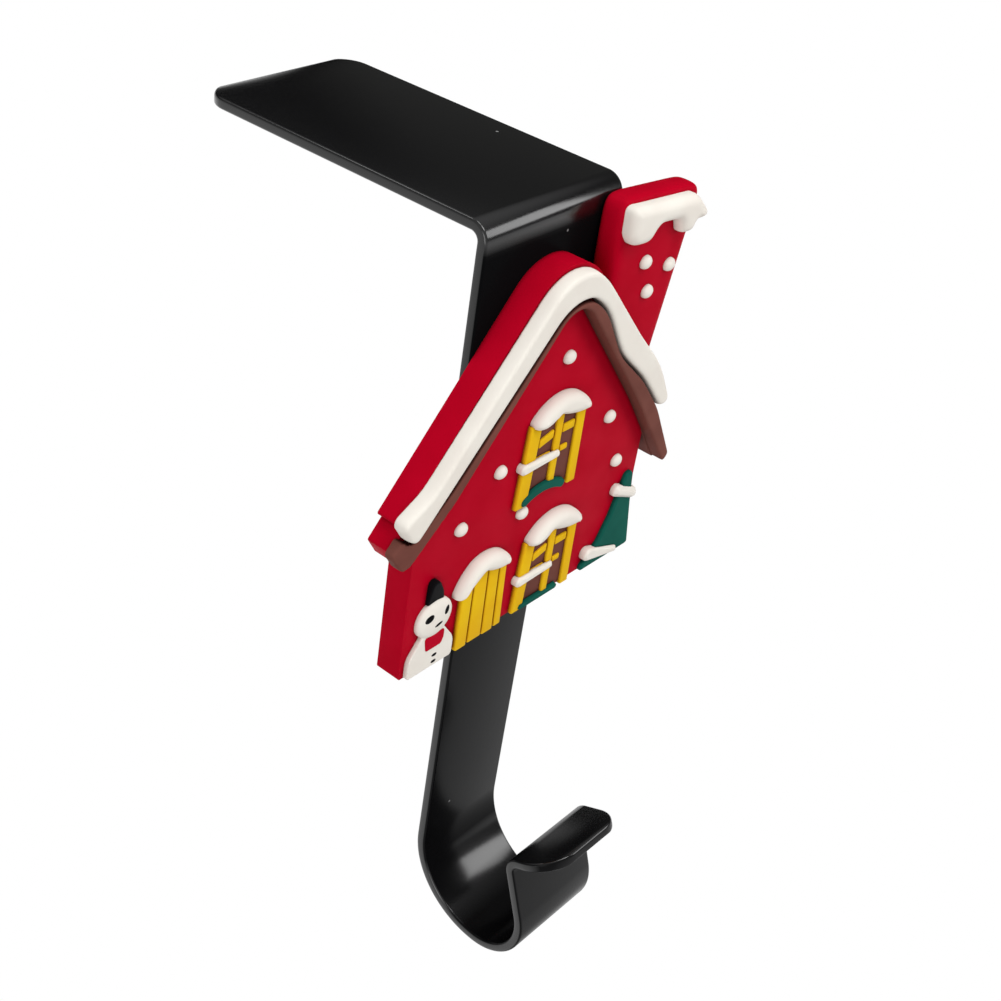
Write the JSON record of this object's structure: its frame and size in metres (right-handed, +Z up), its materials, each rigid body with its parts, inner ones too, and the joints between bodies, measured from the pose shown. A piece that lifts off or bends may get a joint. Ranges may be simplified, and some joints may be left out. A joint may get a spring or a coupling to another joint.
{
  "type": "mantel stocking holder",
  "caption": "Mantel stocking holder: a folded black steel strap with a shelf tongue and an upturned hook, with a moulded snowy house ornament on its front.",
  "frame": {"origin": "Inside corner of the strap that sits on the shelf's front top edge, at the strap's mid-line: the tongue's underside is z 0 and the strap's back is y 0.", "axes": "+X across the strap to the right as seen from the front, +Y to the back along the tongue, +Z up."},
  "size_m": [0.0754, 0.0958, 0.152],
  "materials": {
    "strap_paint": "gloss black paint",
    "house_red": "satin soft PVC",
    "snow_white": "satin soft PVC",
    "board_brown": "satin soft PVC",
    "frame_yellow": "satin soft PVC",
    "leaf_green": "satin soft PVC",
    "trim_black": "satin soft PVC",
    "scarf_red": "satin soft PVC"
  },
  "bodies": {
    "root": {"hook_strap": "strap_paint", "house_body": "house_red", "roof_snow": "snow_white", "chimney_snow": "snow_white", "snow_dot_1": "snow_white", "snow_dot_2": "snow_white", "snow_dot_3": "snow_white", "snow_dot_4": "snow_white", "snow_dot_5": "snow_white", "snow_dot_6": "snow_white", "snow_dot_7": "snow_white", "snow_dot_8": "snow_white", "snow_dot_9": "snow_white", "upper_window_snow_cap": "snow_white", "upper_window_sill_snow": "snow_white", "lower_window_snow_cap": "snow_white", "lower_window_sill_snow": "snow_white", "door_snow": "snow_white", "snowman": "snow_white", "tree_upper_snow": "snow_white", "tree_lower_snow": "snow_white", "eave_board": "board_brown", "upper_window_panes": "board_brown", "lower_window_panes": "board_brown", "upper_window_frame": "frame_yellow", "lower_window_frame": "frame_yellow", "door": "frame_yellow", "upper_window_garland": "leaf_green", "lower_window_garland": "leaf_green", "tree": "leaf_green", "snowman_hat": "trim_black", "snowman_left_eye": "trim_black", "snowman_right_eye": "trim_black", "snowman_mouth": "trim_black", "snowman_upper_button": "trim_black", "snowman_lower_button": "trim_black", "snowman_scarf": "scarf_red"}
  },
  "joints": []
}
